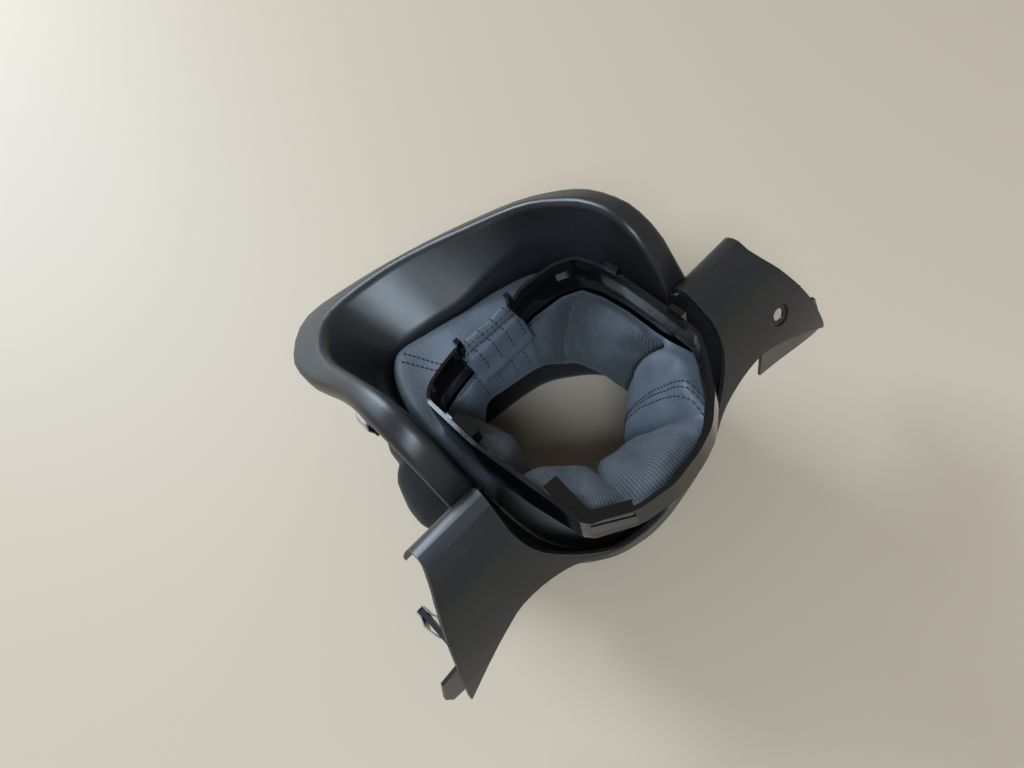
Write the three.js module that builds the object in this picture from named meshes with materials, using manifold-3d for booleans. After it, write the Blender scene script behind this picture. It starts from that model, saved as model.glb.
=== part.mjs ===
// Steering column trim: a two-part moulded surround with a leatherette gaiter,
// its snap-in collar and the spring clips that hold it in the dashboard.
// Millimetres, +Z up along the steering column, +Y towards the windscreen,
// the wings reaching left and right along X.

import * as THREE from 'three';
import { mergeVertices } from 'three/addons/utils/BufferGeometryUtils.js';
import Module from 'manifold-3d';

const wasm = await Module();
wasm.setup();

// Driving dimensions of the mouldings
const wall = 2.3;
const rimHalfWidth = 88.5;
const hoodReach = 200;
const hoodCrestZ = 171;
const rimBand = 15;
const rimCrown = 6;
const rimHem = 9;
const rimStations = 44;
const openingHalfWidth = 73.5;
const wingCornerX = 115;
const wingTipX = 148;
const crestZ = 146;
const rollRadius = 11.5;
const seamGap = 0.5;
const seamZ = 133;
const tipZ = 62;
const lipApexZ = 16;
const skirtClear = 0.4;
const skirtRise = 0.42;
const skirtDraft = 0.34;
const bandApexZ = 40;

// Driving dimensions of the collar and the gaiter
const collarWall = 2.2;
const collarDepthFront = 14;
const collarDepthBack = 34;
const collarFlare = 1.5;
const collarLedge = 2.4;
const ledgeDrop = 11;
const collarBackZ = 145;
const collarBackY = 64;
const collarPitch = 0.144;
const cornerEase = 2.5;
const collarNotch = { y: 73, from: -22, to: 12 };
const collarNotchDepth = 7;
const gaiterWall = 1.3;
const gaiterFit = 0.35;
const collarRoom = 1.2;
const seatLap = 3.5;

// Driving dimensions of the fixings
const clipWidth = 10;
const clipHeight = 15;
const clipGauge = 0.8;
const clipFit = 0.3;
const clipBarb = 1.8;
const towerThickness = 2.6;
const screwHoleRadius = 3.7;
const screwSinkRadius = 6.6;
const screwSinkDepth = 1.2;

const satinBlack = new THREE.MeshStandardMaterial({ color: 0x1c1d1f, roughness: 0.42, metalness: 0 });
const glossBlack = new THREE.MeshStandardMaterial({ color: 0x0c0c0d, roughness: 0.16, metalness: 0 });
const leatherette = new THREE.MeshStandardMaterial({ color: 0x24262b, roughness: 0.6, metalness: 0 });
const springSteel = new THREE.MeshStandardMaterial({ color: 0xa9adb3, roughness: 0.3, metalness: 1 });

// Solids from grids of points, joined and cut as manifolds

function geometryFrom(points, triangles) {
  const geometry = new THREE.BufferGeometry();
  const flat = points.flatMap((p) => [p.x, p.y, p.z]);
  geometry.setAttribute('position', new THREE.Float32BufferAttribute(flat, 3));
  geometry.setIndex(triangles);
  return geometry;
}

function signedVolume({ array }, corners) {
  const corner = (i) => new THREE.Vector3().fromArray(array, 3 * corners[i]);
  let volume = 0;
  for (let i = 0; i < corners.length; i += 3) volume += corner(i).dot(corner(i + 1).cross(corner(i + 2)));
  return volume;
}

// Every shape becomes a solid with its faces turned outwards
function solid(geometry) {
  const bare = geometry.clone();
  bare.deleteAttribute('normal');
  bare.deleteAttribute('uv');
  const merged = mergeVertices(bare, 1e-4);
  const corners = Array.from(merged.index.array);
  if (signedVolume(merged.attributes.position, corners) < 0) corners.reverse();
  return new wasm.Manifold(new wasm.Mesh({
    numProp: 3,
    vertProperties: new Float32Array(merged.attributes.position.array),
    triVerts: new Uint32Array(corners),
  }));
}

// Stitches a row of equal polygons, each a list of points, into one solid.
// Each polygon is a strip folded back on itself: first half out, second half back,
// and both halves split their four-sided faces the same way, so that a thin wall stays open.
function loft(sections, closed) {
  const count = sections[0].length;
  const points = sections.flat();
  const triangles = [];
  const quad = (a, b, c, d) => triangles.push(a, b, c, a, c, d);
  const rows = closed ? sections.length : sections.length - 1;
  for (let s = 0; s < rows; s += 1) {
    const here = s * count;
    const next = ((s + 1) % sections.length) * count;
    for (let k = 0; k < count; k += 1) {
      const step = (k + 1) % count;
      const corners = [here + k, here + step, next + step, next + k];
      if (k >= count / 2) corners.push(corners.shift());
      quad(...corners);
    }
  }
  if (!closed) {
    const last = (sections.length - 1) * count;
    for (let k = 0; k < count / 2 - 1; k += 1) {
      const [a, b, c, d] = [k, k + 1, count - 2 - k, count - 1 - k];
      quad(d, c, b, a);
      quad(last + a, last + b, last + c, last + d);
    }
  }
  return geometryFrom(points, triangles);
}

// Gives a sheet of points a thickness, measured to the side its normals point from.
function thicken(grid, thickness, closed) {
  const rows = grid.length;
  const columns = grid[0].length;
  const at = (s) => grid[closed ? (s + rows) % rows : Math.min(rows - 1, Math.max(0, s))];
  return loft(grid.map((row, s) => {
    const back = row.map((p, k) => {
      const along = at(s + 1)[k].clone().sub(at(s - 1)[k]);
      const across = row[Math.min(columns - 1, k + 1)].clone().sub(row[Math.max(0, k - 1)]);
      return p.clone().addScaledVector(along.cross(across).normalize(), thickness);
    });
    return [...row, ...back.reverse()];
  }), closed);
}

function geometryOf(manifold) {
  const mesh = manifold.getMesh();
  const geometry = new THREE.BufferGeometry();
  geometry.setAttribute('position', new THREE.Float32BufferAttribute(mesh.vertProperties, 3));
  geometry.setIndex(Array.from(mesh.triVerts));
  return geometry;
}

const joined = (first, ...rest) => rest.reduce((sum, part) => sum.add(part), first);

// A smooth line through points, cut into equal steps
function smooth(points, steps) {
  const curve = new THREE.CatmullRomCurve3(points.map((p) => new THREE.Vector3(...p)), false, 'centripetal');
  return Array.from({ length: steps + 1 }, (_, i) => curve.getPoint(i / steps));
}

// Reads a height off a curve given as (place, height) pairs
function curveValue(pairs) {
  const curve = new THREE.SplineCurve(pairs.map(([u, v]) => new THREE.Vector2(u, v)));
  const samples = curve.getPoints(160);
  return (u) => {
    const next = samples.findIndex((p) => p.x >= u);
    if (next === 0) return samples[0].y;
    if (next < 0) return samples[samples.length - 1].y;
    const [a, b] = [samples[next - 1], samples[next]];
    return a.y + ((u - a.x) / (b.x - a.x)) * (b.y - a.y);
  };
}

function box(width, depth, height, x, y, z, turn = 0, lean = 0) {
  const geometry = new THREE.BoxGeometry(width, depth, height);
  geometry.rotateX(lean);
  geometry.rotateZ(turn);
  geometry.translate(x, y, z);
  return geometry;
}

// The side view of the face: how far forward it stands at each height
const faceForward = curveValue([
  [lipApexZ - 18, -35], [lipApexZ + 6, -37.5], [45, -39.5], [69, -39], [93, -34],
  [112, -26], [128, -17], [140, -7.5], [crestZ, 0],
]);

// The side view of the surround's rim: it climbs from the seam, arches and runs down again
const rimHeight = curveValue([
  [11, seamZ - 1], [21, hoodCrestZ - 22], [27, hoodCrestZ - 12], [35, hoodCrestZ - 5], [49, hoodCrestZ],
  [69, hoodCrestZ - 3], [82, hoodCrestZ - 8], [97, hoodCrestZ - 15], [120, hoodCrestZ - 26],
  [hoodReach - 50, hoodCrestZ - 39], [hoodReach + 5, hoodCrestZ - 61],
]);

// Upper surround. Each row gives the outer edge, the inner edge of the rim band,
// the edge of the shelf and the foot of the inner wall, from the left seam round to the right.
const seamY = rollRadius + seamGap;
const rimIn = rimHalfWidth - rimBand;
const shelfX = rimIn - 3.5;
const footX = openingHalfWidth - 5;
const row = (outer, inner, shelf, foot) => ({ outer, inner, shelf, foot });
const surroundRows = [
  row([-rimHalfWidth, seamY], [-rimIn, seamY], [-shelfX, seamY, 16], [-footX, seamY, 95]),
  row([-rimHalfWidth, 35], [-rimIn, 34], [-shelfX, 34, 24], [-footX, 34, 93]),
  row([-rimHalfWidth, 60], [-rimIn, 60], [-shelfX, 57, 25], [-footX + 0.5, 55, 91]),
  row([-rimHalfWidth - 0.5, 94], [-rimIn - 2.5, 97], [-shelfX, 84, 28], [-footX + 1.5, 80, 90]),
  row([-rimHalfWidth - 7, hoodReach - 64], [-rimIn - 4.5, hoodReach - 73],
    [-shelfX + 3, 108, 34], [-footX + 4.5, 104, 89]),
  row([-rimHalfWidth - 3.5, hoodReach - 30], [-rimIn - 0.5, hoodReach - 50],
    [-shelfX + 12, 131, 31], [-56, 125, 88]),
  row([-rimHalfWidth + 20.5, hoodReach], [-rimIn + 16.5, hoodReach - 27],
    [-shelfX + 26, 140, 30], [-44, 137, 88]),
  row([-28, hoodReach - 9], [-22, hoodReach - 28], [-18, 134, 29], [-20, 133, 88]),
  row([8, hoodReach - 26], [6, hoodReach - 39], [4, 124, 27], [4, 126, 88]),
  row([rimHalfWidth - 44.5, hoodReach - 49], [rimIn - 37.5, hoodReach - 62], [31, 117, 26], [32, 119, 89]),
  row([rimHalfWidth - 16.5, hoodReach - 75], [rimIn - 11.5, hoodReach - 88],
    [shelfX - 13, 105, 26], [57, 106, 90]),
  row([rimHalfWidth - 3, 94], [rimIn - 3.5, 84], [shelfX - 4, 80, 26], [footX - 3.5, 79, 91]),
  row([rimHalfWidth, 60], [rimIn, 58], [shelfX, 56, 25], [footX - 0.5, 55, 92]),
  row([rimHalfWidth, 35], [rimIn, 34], [shelfX, 34, 24], [footX, 34, 93]),
  row([rimHalfWidth, seamY], [rimIn, seamY], [shelfX, seamY, 16], [footX, seamY, 95]),
];

function surroundLines() {
  const along = (pick) => smooth(surroundRows.map(pick), rimStations);
  const outer = along((r) => [...r.outer, 0]).map((p) => p.setZ(rimHeight(p.y)));
  const inner = along((r) => [...r.inner, 0]).map((p) => p.setZ(rimHeight(p.y) + rimCrown));
  const shelf = along((r) => r.shelf).map((p, i) => new THREE.Vector3(p.x, p.y, inner[i].z - p.z));
  const foot = along((r) => r.foot);
  return { outer, inner, shelf, foot };
}

// A rounded edge between two straight runs, as a few points on a quadratic curve
function bend(before, corner, after, reach, steps = 3) {
  const start = corner.clone().lerp(before, Math.min(0.45, reach / corner.distanceTo(before)));
  const end = corner.clone().lerp(after, Math.min(0.45, reach / corner.distanceTo(after)));
  return new THREE.QuadraticBezierCurve3(start, corner, end).getPoints(steps);
}

function surroundSkin() {
  const { outer, inner, shelf, foot } = surroundLines();
  return outer.map((edge, i) => {
    const hem = edge.clone().setZ(edge.z - rimHem);
    return [
      hem,
      ...bend(hem, edge, inner[i], 4.2),
      ...bend(edge, inner[i], shelf[i], 6),
      ...bend(inner[i], shelf[i], foot[i], 6),
      foot[i],
    ];
  });
}

// A flat tower hangs from the hem on each side for the spring clip
const surroundClip = { x: rimHalfWidth - towerThickness / 2 - 0.2, y: 79, z: hoodCrestZ - 28 };

function upperSurround() {
  const towers = [-1, 1].map((side) => solid(box(
    towerThickness, clipWidth - 1, clipHeight + 8,
    side * surroundClip.x, surroundClip.y, surroundClip.z + 4)));
  return joined(solid(thicken(surroundSkin(), wall, false)), ...towers);
}

// Lower panel: the bent face with both wings, the wall round the opening and the skirt
function extrudeAcross(points, from, to, place) {
  const shape = new THREE.Shape(points.map(([u, v]) => new THREE.Vector2(u, v)));
  const geometry = new THREE.ExtrudeGeometry(shape, { depth: to - from, bevelEnabled: false });
  const position = geometry.attributes.position;
  for (let i = 0; i < position.count; i += 1) {
    const [u, v, w] = [position.getX(i), position.getY(i), position.getZ(i) + from];
    position.setXYZ(i, ...place(u, v, w));
  }
  return geometry;
}

function faceSlab() {
  const front = [];
  for (let z = lipApexZ - 18; z < crestZ - 1; z += 9) front.push([faceForward(z), z]);
  const roll = [];
  for (let step = 0; step <= 5; step += 1) {
    const angle = (step / 5) * (Math.PI / 2);
    roll.push([rollRadius * Math.sin(angle), crestZ - rollRadius + rollRadius * Math.cos(angle)]);
  }
  const line = [...front, ...roll].map(([y, z]) => new THREE.Vector2(y, z));
  const back = line.map((p, i) => {
    const along = line[Math.min(line.length - 1, i + 1)].clone().sub(line[Math.max(0, i - 1)]).normalize();
    return new THREE.Vector2(p.x + along.y * wall, p.y - along.x * wall);
  });
  const outline = [...line, ...back.reverse()].map((p) => [p.x, p.y]);
  return extrudeAcross(outline, -wingTipX - 10, wingTipX + 10, (y, z, x) => [x, y, z]);
}

// The wing outline seen from the front, from the seam corner round the tip to the middle
const lipLine = [
  [wingTipX - 10, tipZ + 8], [125, 79], [110, 87], [96, 92], [80, 91], [66, 86],
  [56, 78], [48, 65], [33, 43], [12, lipApexZ + 4], [0, lipApexZ],
];
const wingEdge = [
  [wingCornerX, crestZ + 6], [wingCornerX + 1.5, 142], [125, 128], [133, 112], [140, 93], [wingTipX - 1, 68],
];
const openingLine = [
  [openingHalfWidth, crestZ], [75, 135], [75.5, 126], [72, 111], [61, 94], [47, 74], [32, 55], [14, 43],
  [0, bandApexZ],
];

function smooth2(points, steps) {
  return new THREE.SplineCurve(points.map(([u, v]) => new THREE.Vector2(u, v))).getPoints(steps);
}

function wingOutline() {
  const edge = smooth2(wingEdge, 10);
  const tipLine = [[wingTipX - 1, 68], [wingTipX, tipZ], [wingTipX - 3, tipZ + 2], [wingTipX - 10, tipZ + 8]];
  const tip = smooth2(tipLine, 5);
  const lip = smooth2(lipLine, 26);
  const half = [...edge, ...tip.slice(1), ...lip.slice(1)].map((p) => [p.x, p.y]);
  const other = half.slice(0, -1).reverse().map(([x, z]) => [-x, z]);
  return [...half, ...other];
}

function openingOutline() {
  const half = [[openingHalfWidth, crestZ + 20], ...smooth2(openingLine, 20).map((p) => [p.x, p.y])];
  const other = half.slice(0, -1).reverse().map(([x, z]) => [-x, z]);
  return [...half, ...other];
}

const onFace = ([x, z], set = 0) => new THREE.Vector3(x, faceForward(z) + set, z);

// The wall that runs back from the opening's edge to the foot that the gaiter frame lies under
const panelFootSteps = 16;
const panelFoot = [
  [footX, 11, 95], [67, 3, 84], [63, -7, 68], [54, -17, 52], [42, -24, 40], [24, -28, 31], [0, -29, 28],
];

function mirrored(points) {
  const other = points.slice(0, -1).reverse().map((p) => p.clone().setX(-p.x));
  return [...points, ...other];
}

function openingWall() {
  const line = smooth2(openingLine, panelFootSteps);
  const edge = mirrored(line.map((p) => onFace([p.x, Math.min(p.y, crestZ - 2)], 1)));
  const foot = mirrored(smooth(panelFoot, panelFootSteps));
  const grid = edge.map((top, i) => {
    const outward = top.clone().setX(top.x * 1.02);
    const low = foot[i];
    const knee = top.clone().lerp(low, 0.35).add(new THREE.Vector3(0, -1.5, -2));
    return [outward, ...bend(outward, knee, low, 6, 2), low];
  });
  return thicken(grid, wall * 0.9, false);
}

// The skirt under the lip draws in as it goes down, and its lower edge rises to both sides
function skirt() {
  const line = smooth2(lipLine.filter(([x]) => x <= 96), 20);
  const lip = mirrored(line.map((p) => onFace([p.x, p.y + 1.2], 0.4)));
  const grid = lip.map((top) => {
    const lowZ = skirtClear + skirtRise * Math.abs(top.x);
    const drop = top.z - lowZ;
    const low = new THREE.Vector3(top.x * 0.97, top.y + skirtDraft * drop, lowZ);
    return [top, top.clone().lerp(low, 0.5), low];
  });
  return thicken(grid, -wall * 0.85, false);
}

// The right wing's lower edge carries a straight-bottomed return wall
function wingReturn() {
  const line = smooth2([[wingTipX - 4, tipZ + 3], [125, 79.5], [110, 87.5], [95, 92]], 8);
  const top = line.map((p) => onFace([p.x, p.y], 0.6));
  const grid = top.map((p, i) => {
    const share = i / (top.length - 1);
    const low = new THREE.Vector3(p.x + 3 * share, p.y + 2, tipZ - 4 + 4 * share);
    return [p, p.clone().lerp(low, 0.5), low];
  });
  return thicken(grid, -wall * 0.8, false);
}

// A tongue set back behind each wing tip, held by a web
function wingTongue(side) {
  const shape = new THREE.Shape([
    [136, 80], [153, 76], [159, 58], [157, 48], [148, 46], [140, 62],
  ].map(([x, z]) => new THREE.Vector2(side * x, z)));
  const points = shape.getPoints().map((p) => [p.x, p.y]);
  const plate = extrudeAcross(points, -27 - wall / 2, -27 + wall / 2, (x, z, y) => [x, y, z]);
  return joined(solid(plate), solid(box(wall, 11.5, 8, side * 141, -32, 69)));
}

// A flat tower reaches back from each wing's outer edge for the spring clip
const wingClip = { x: 133.4, y: -3, z: 104 };

function wingTower(side) {
  const length = clipHeight + 10;
  return solid(box(
    towerThickness, length, clipWidth - 1, side * wingClip.x, wingClip.y - length / 2, wingClip.z));
}

// The screw hole in the right wing, sunk square to the face
const screwPlace = { x: 115, z: 104 };

function screwCutters() {
  const centre = onFace([screwPlace.x, screwPlace.z]);
  const lean = Math.atan2(faceForward(screwPlace.z + 4) - faceForward(screwPlace.z - 4), 8);
  const cutter = (radius, length, forward) => {
    const geometry = new THREE.CylinderGeometry(radius, radius, length, 32);
    geometry.translate(0, -forward, 0);
    geometry.rotateX(-lean);
    return solid(geometry.translate(...centre));
  };
  return [cutter(screwHoleRadius, 24, 0), cutter(screwSinkRadius, 8, 4 - screwSinkDepth)];
}

function lowerPanel() {
  const outline = solid(extrudeAcross(wingOutline(), -70, 40, (x, z, y) => [x, y, z]));
  const opening = solid(extrudeAcross(openingOutline(), -80, 60, (x, z, y) => [x, y, z]));
  const face = solid(faceSlab()).intersect(outline).subtract(opening);
  const drilled = screwCutters().reduce((plate, cutter) => plate.subtract(cutter), face);
  const tongues = [-1, 1].map(wingTongue);
  const towers = [-1, 1].map(wingTower);
  return joined(drilled, solid(openingWall()), solid(skirt()), solid(wingReturn()), ...tongues, ...towers);
}

// Gaiter collar: a thin ring that follows the steering column's shroud, highest at the front
const collarCorners = [
  [-59, 62], [-60, 22], [-57, -18], [-54, -53], [-34, -66], [-15, -70], [4, -68], [17, -64], [32, -53],
  [46, -37], [54, -26], [58, 3], [61, 30], [61, 50], [58, 66], [46, 74], [26, 77], [0, 75.5], [-24, 77],
  [-40, 74], [-52, 70],
];

function collarStations() {
  return collarCorners.flatMap(([x, y], i) => {
    const here = new THREE.Vector2(x, y);
    const next = new THREE.Vector2(...collarCorners[(i + 1) % collarCorners.length]);
    const step = cornerEase / here.distanceTo(next);
    return [here.clone().lerp(next, step), here.clone().lerp(next, 1 - step)];
  });
}

const collarTop = (y) => collarBackZ + collarPitch * (collarBackY - y);
const collarDepth = (y) => THREE.MathUtils.lerp(
  collarDepthFront, collarDepthBack, THREE.MathUtils.smoothstep(y, -64, 10));

// The outline moved inwards by an amount, square to its run
function ringOf(stations, inset) {
  return stations.map((p, i) => {
    const count = stations.length;
    const along = stations[(i + 1) % count].clone().sub(stations[(i - 1 + count) % count]).normalize();
    return new THREE.Vector2(p.x - along.y * inset, p.y + along.x * inset);
  });
}

// A small block against the collar's inner face, as wide along the ring as it is said to be
function collarBlock([x, y], turn, width, depth, height, drop) {
  return solid(box(width, depth, height, x, y, collarTop(y) - drop - height / 2, turn));
}

function gaiterCollar() {
  const stations = collarStations();
  const lines = {
    top: stations,
    low: ringOf(stations, -collarFlare),
    lowIn: ringOf(stations, collarWall - collarFlare),
    ledgeIn: ringOf(stations, collarWall + collarLedge),
    topIn: ringOf(stations, collarWall),
  };
  const at = (line, i, drop) => {
    const p = lines[line][i];
    return new THREE.Vector3(p.x, p.y, collarTop(stations[i].y) - drop);
  };
  const ring = solid(loft(stations.map((p, i) => {
    const folded = p.y > collarNotch.y && p.x > collarNotch.from && p.x < collarNotch.to;
    const cut = folded ? collarNotchDepth : 0;
    const deep = collarDepth(p.y);
    const ledge = Math.min(ledgeDrop + cut, deep - 7);
    return [
      at('top', i, cut), at('low', i, deep), at('lowIn', i, deep), at('lowIn', i, deep - 4),
      at('ledgeIn', i, ledge + 2), at('ledgeIn', i, ledge), at('topIn', i, ledge), at('topIn', i, cut),
    ];
  }), true));
  const blocks = [
    collarBlock([-50, -38], -0.08 + Math.PI / 2, 26, 8, 7.5, 2),
    collarBlock([-42, -57.5], -0.58, 20, 8, 7.5, 2),
    collarBlock([-55.5, 34], 0.03 + Math.PI / 2, 16, 7, 9, 2),
  ];
  const hooks = [collarNotch.from - 2, collarNotch.to + 2].map((x) => collarBlock([x, 75], 0, 3, 4, 16, -5));
  const steps = [[61.5, 40], [56.8, -9]].map((place) => collarBlock(place, Math.PI / 2, 9, 3.4, 8, -2.5));
  return joined(ring, ...blocks, ...hooks, ...steps);
}

// Gaiter: a soft ring between the collar and the frame under the surround's inner wall
const gaiterStations = 60;
const gaiterBulge = 22;
const neckFrontZ = 62;
const neckBackZ = 88;

// Where a ray from the middle of the opening meets a closed outline: how far out, and how high
function meet(outline, dir) {
  for (let i = 0; i < outline.length; i += 1) {
    const a = outline[i];
    const b = outline[(i + 1) % outline.length];
    const [ax, ay] = [a.x - openingCentre.x, a.y - openingCentre.y];
    const [rx, ry] = [b.x - a.x, b.y - a.y];
    const cross = dir.x * ry - dir.y * rx;
    const distance = (ax * ry - ay * rx) / cross;
    const share = (ax * dir.y - ay * dir.x) / cross;
    if (distance > 0 && share >= 0 && share <= 1) return { distance, z: a.z + (b.z - a.z) * share };
  }
  return { distance: 0, z: 0 };
}

const openingCentre = new THREE.Vector2(-5, 18);
const holeOutline = [
  [33, 22], [28, 48], [14, 63], [-28, 72], [-40, 58], [-38, 43], [-36, 30], [-37, 18], [-38, 6], [-27, 0],
  [-13, -5], [-4, -11], [9, -7], [30, 9], [38, 12],
].map(([x, y]) => new THREE.Vector2(x, y));

// The foot of the walls all round: the surround's, then the panel's
function footOutline() {
  return [...surroundLines().foot, ...mirrored(smooth(panelFoot, panelFootSteps))];
}

function gaiterSections() {
  const stations = collarStations();
  const seatLine = ringOf(stations, collarWall - collarFlare + gaiterWall + gaiterFit);
  const skirtLine = ringOf(stations, collarWall - collarFlare);
  const foot = footOutline();
  return Array.from({ length: gaiterStations }, (_, i) => {
    const angle = (i / gaiterStations) * Math.PI * 2;
    const dir = new THREE.Vector2(Math.cos(angle), Math.sin(angle));
    const at = (distance, z) => new THREE.Vector3(
      openingCentre.x + dir.x * distance, openingCentre.y + dir.y * distance, z);
    const hole = meet(holeOutline, dir).distance;
    const seat = meet(seatLine, dir).distance;
    const skirtTop = meet(skirtLine, dir).distance;
    const edge = meet(foot, dir);
    const hem = edge.distance - gaiterFit;
    const seatY = openingCentre.y + dir.y * seat;
    const low = collarTop(seatY) - collarDepth(seatY);
    const edgeZ = edge.z;
    const rear = THREE.MathUtils.smoothstep(dir.y, -0.5, 0.3);
    const bulge = hem + THREE.MathUtils.lerp(-5, gaiterBulge, rear);
    const neck = THREE.MathUtils.lerp(neckFrontZ, neckBackZ, rear);
    const bottom = THREE.MathUtils.lerp(3, 0, rear);
    return [
      at(skirtTop, low - collarRoom),
      at(skirtTop * 0.6 + (hem - 3) * 0.4, low * 0.6 + (edgeZ + 18) * 0.4 - 3),
      at(hem - 3, edgeZ + 14),
      at(hem - 0.3, edgeZ + 1),
      at(hem - 0.3, edgeZ - 7),
      at(bulge, edgeZ * 0.55),
      at(bulge - 2, edgeZ * 0.3),
      at(bulge * 0.65 + hole * 0.35, bottom),
      at(bulge * 0.3 + hole * 0.7, bottom),
      at(hole + THREE.MathUtils.lerp(2, 12, rear), neck * 0.4),
      at(hole, neck),
      at(seat * 0.5 + hole * 0.5, low * 0.5 + neck * 0.5 + 1),
      at(seat, low + seatLap),
    ];
  });
}

function gaiter() {
  return solid(thicken(gaiterSections(), gaiterWall, true));
}

// Spring clip: a steel strip folded over the end of its tower, each leg sprung out into a barb.
// It is drawn across its width, with its end at zero and its legs running the negative way.
function springClip(place) {
  const inside = towerThickness / 2 + clipFit;
  const outside = inside + clipGauge;
  const outer = [
    [outside + clipBarb * 0.2, -clipHeight], [outside + clipBarb, -clipHeight * 0.55],
    [outside, -clipHeight * 0.2], [outside, clipFit], [outside * 0.6, clipFit + clipGauge],
  ];
  const inner = [
    ...outer.slice(0, 2).map(([u, v]) => [u - clipGauge, v]),
    [inside, -clipHeight * 0.2], [inside, clipFit],
  ];
  const flip = (points) => points.map(([u, v]) => [-u, v]);
  const outline = [...outer, ...flip(outer).reverse(), ...flip(inner), ...inner.reverse()];
  return solid(extrudeAcross(outline, -clipWidth / 2, clipWidth / 2, place));
}

const surroundSpring = (side) => springClip((u, v, w) => [
  side * surroundClip.x + u, surroundClip.y + w, surroundClip.z - clipHeight / 2 - v]);
const wingSpring = (side) => springClip((u, v, w) => [
  side * wingClip.x + u, wingClip.y + v, wingClip.z + w]);

// The parts list and the assembly

const trim = new THREE.Group();

function add(name, manifold, material) {
  const mesh = new THREE.Mesh(geometryOf(manifold), material);
  mesh.name = name;
  trim.add(mesh);
}

add('upper_surround', upperSurround(), satinBlack);
add('lower_panel', lowerPanel(), satinBlack);
add('gaiter_collar', gaiterCollar(), glossBlack);
add('gaiter', gaiter(), leatherette);
for (const [side, hand] of [[-1, 'left'], [1, 'right']]) {
  add(`spring_clip_surround_${hand}`, surroundSpring(side), springSteel);
  add(`spring_clip_wing_${hand}`, wingSpring(side), springSteel);
}

// The origin is the middle of the bottom of the whole part
const bounds = new THREE.Box3().setFromObject(trim);
const centre = bounds.getCenter(new THREE.Vector3());
trim.position.set(-centre.x, -centre.y, -bounds.min.z);

export default trim;
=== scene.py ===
import math
import bmesh
import bpy
from mathutils import Matrix, Vector, noise


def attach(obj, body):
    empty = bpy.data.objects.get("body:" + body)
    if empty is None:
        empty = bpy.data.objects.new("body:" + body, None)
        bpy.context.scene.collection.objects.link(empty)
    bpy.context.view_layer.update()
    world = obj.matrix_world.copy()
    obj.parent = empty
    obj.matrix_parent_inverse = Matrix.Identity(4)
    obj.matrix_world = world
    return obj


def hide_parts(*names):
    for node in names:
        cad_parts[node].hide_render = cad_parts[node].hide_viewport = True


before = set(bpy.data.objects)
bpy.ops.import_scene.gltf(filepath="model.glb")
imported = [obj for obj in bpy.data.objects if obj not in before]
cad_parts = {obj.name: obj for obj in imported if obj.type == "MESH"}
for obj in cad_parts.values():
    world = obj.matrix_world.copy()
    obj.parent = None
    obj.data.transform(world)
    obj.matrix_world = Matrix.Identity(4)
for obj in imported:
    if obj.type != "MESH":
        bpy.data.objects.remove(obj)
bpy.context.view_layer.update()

# The part's own drawing is in millimetres; this turns it into the row frame
drawing = {"shiftY": -64.603, "unit": 0.001}


def place(x, y, z):
    return Vector((x, y + drawing["shiftY"], z)) * drawing["unit"]


print("stage: camera, floor and light")
camera = {
    "eye": (-97.33, -160.0, 465.0),
    "right": (0.70824, -0.66544, -0.23575),
    "up": (0.67782, 0.54767, 0.49043),
    "forward": (0.19723, 0.50714, -0.83894),
    "lens": 26.02,
    "sensor": 36.0,
    "near": 0.01,
}


def aimCamera():
    data = bpy.data.cameras.new("viewpoint")
    data.lens = camera["lens"]
    data.sensor_width = camera["sensor"]
    data.sensor_fit = "HORIZONTAL"
    data.clip_start = camera["near"]
    viewpoint = bpy.data.objects.new("viewpoint", data)
    right, up, forward = (Vector(camera[key]) for key in ("right", "up", "forward"))
    turn = Matrix((right, up, -forward)).transposed().to_4x4()
    viewpoint.matrix_world = Matrix.Translation(place(*camera["eye"])) @ turn
    bpy.context.scene.collection.objects.link(viewpoint)
    bpy.context.scene.camera = viewpoint
    bpy.context.scene.view_settings.view_transform = "Standard"


aimCamera()


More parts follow.
